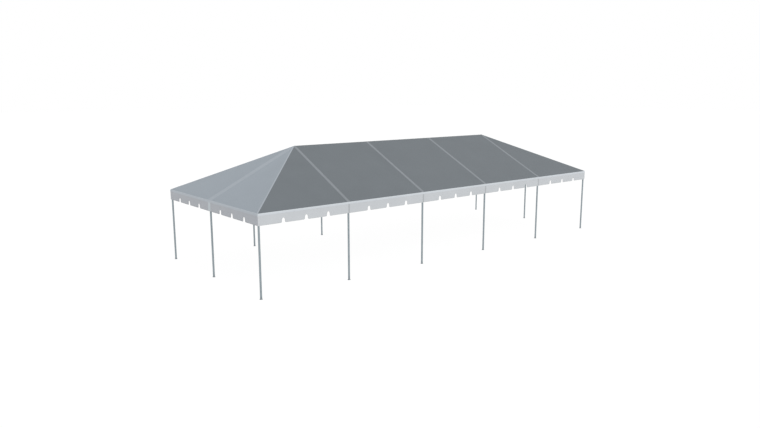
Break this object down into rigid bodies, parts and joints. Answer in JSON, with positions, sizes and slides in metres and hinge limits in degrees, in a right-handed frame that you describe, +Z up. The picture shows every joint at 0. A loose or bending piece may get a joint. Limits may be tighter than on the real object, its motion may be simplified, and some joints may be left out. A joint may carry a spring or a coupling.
{
  "type": "frame tent",
  "caption": "Open-sided hip-roofed frame tent: grey fabric canopy with a notched valance on a frame of metal tubes, slip fittings and slim legs.",
  "frame": {"origin": "middle of the plan, on the ground under the feet", "axes": "+X along the ridge towards the right end, +Y towards the back, +Z up; the front is at -Y"},
  "size_m": [15.33, 5.99, 3.9212],
  "materials": {
    "slope_fabric": "coated vinyl, dark grey, satin",
    "end_fabric": "coated vinyl, blue grey, satin",
    "valance_fabric": "coated vinyl, light grey, satin",
    "tube_metal": "satin mill",
    "fitting_metal": "satin, welded"
  },
  "bodies": {
    "root": {"canopy_back_slope": "slope_fabric", "canopy_front_slope": "slope_fabric", "canopy_left_end": "end_fabric", "canopy_right_end": "end_fabric", "corner_back_left": "fitting_metal", "corner_back_right": "fitting_metal", "corner_front_left": "fitting_metal", "corner_front_right": "fitting_metal", "crown_left": "fitting_metal", "crown_right": "fitting_metal", "eave_rail_back": "tube_metal", "eave_rail_front": "tube_metal", "eave_rail_left": "tube_metal", "eave_rail_right": "tube_metal", "end_rafter_left": "tube_metal", "end_rafter_right": "tube_metal", "hip_rafter_back_left": "tube_metal", "hip_rafter_back_right": "tube_metal", "hip_rafter_front_left": "tube_metal", "hip_rafter_front_right": "tube_metal", "leg_back_1": "tube_metal", "leg_back_2": "tube_metal", "leg_back_3": "tube_metal", "leg_back_6": "tube_metal", "leg_front_1": "tube_metal", "leg_front_2": "tube_metal", "leg_front_3": "tube_metal", "leg_front_4": "tube_metal", "leg_front_5": "tube_metal", "leg_front_6": "tube_metal", "leg_left_middle": "tube_metal", "leg_right_middle": "tube_metal", "rafter_back_2": "tube_metal", "rafter_back_3": "tube_metal", "rafter_back_4": "tube_metal", "rafter_back_5": "tube_metal", "rafter_front_2": "tube_metal", "rafter_front_3": "tube_metal", "rafter_front_4": "tube_metal", "rafter_front_5": "tube_metal", "ridge_beam": "tube_metal", "valance_back": "valance_fabric", "valance_front": "valance_fabric", "valance_left": "valance_fabric", "valance_right": "valance_fabric"}
  },
  "joints": []
}
